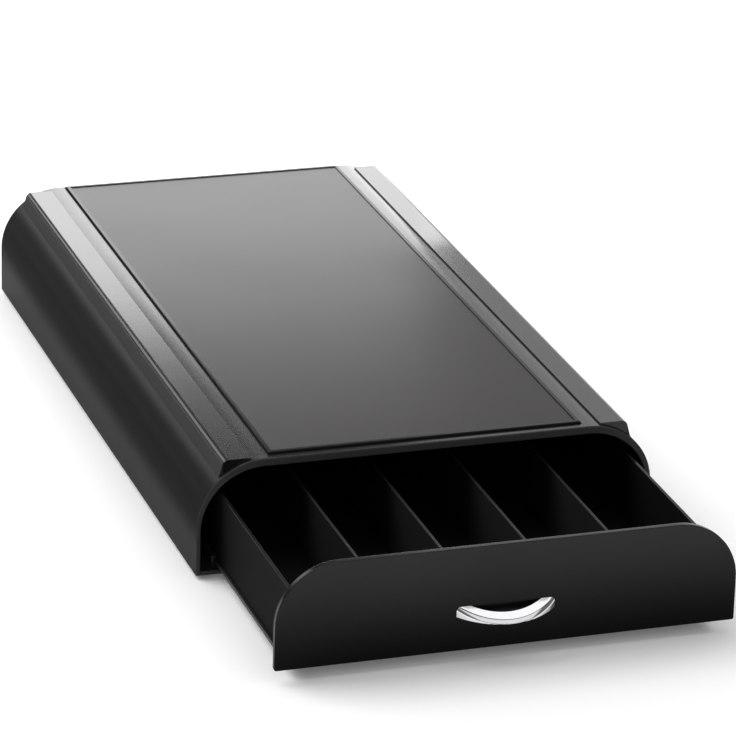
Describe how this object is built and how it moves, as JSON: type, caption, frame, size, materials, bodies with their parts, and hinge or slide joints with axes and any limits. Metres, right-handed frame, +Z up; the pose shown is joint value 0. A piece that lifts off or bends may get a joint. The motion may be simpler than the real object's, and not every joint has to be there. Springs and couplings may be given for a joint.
{
  "type": "coffee pod drawer",
  "caption": "Low countertop storage unit with an arched housing, a padded flat top for a coffee machine and a wide sliding drawer divided into capsule lanes.",
  "frame": {"origin": "centre of the bounding box at the level of the feet's undersides, with the drawer part open as at rest", "axes": "+X to the right as seen from the drawer's front, +Y from the drawer front towards the back, +Z up"},
  "size_m": [0.23, 0.527, 0.0602],
  "materials": {
    "shell_plastic": "satin black",
    "rail_plastic": "satin black",
    "pad_rubber": "fine-textured matt, dark grey",
    "inner_plastic": "matt black",
    "runner_plastic": "matt black, low friction",
    "foot_rubber": "matt black",
    "screw_steel": "zinc-plated",
    "tray_plastic": "satin black",
    "front_plastic": "satin charcoal",
    "divider_plastic": "satin black",
    "handle_chrome": "polished chrome plating"
  },
  "bodies": {
    "housing": {"housing_shell": "shell_plastic", "left_side_rail": "rail_plastic", "right_side_rail": "rail_plastic", "top_pad": "pad_rubber", "base_plate": "inner_plastic", "back_panel": "inner_plastic", "left_runner": "runner_plastic", "right_runner": "runner_plastic", "foot_front_left": "foot_rubber", "foot_front_right": "foot_rubber", "foot_rear_left": "foot_rubber", "foot_rear_right": "foot_rubber", "base_screws": "screw_steel", "back_screws": "screw_steel"},
    "drawer": {"drawer_tray": "tray_plastic", "drawer_front": "front_plastic", "divider_1": "divider_plastic", "divider_2": "divider_plastic", "divider_3": "divider_plastic", "divider_4": "divider_plastic", "left_glide": "runner_plastic", "right_glide": "runner_plastic", "handle": "handle_chrome", "handle_screws": "screw_steel", "front_screws": "screw_steel"}
  },
  "joints": [
    {"name": "drawer_slide", "type": "slide", "parent": "housing", "child": "drawer", "axis": [0, -1, 0], "range_m": [-0.114, 0.171]}
  ]
}
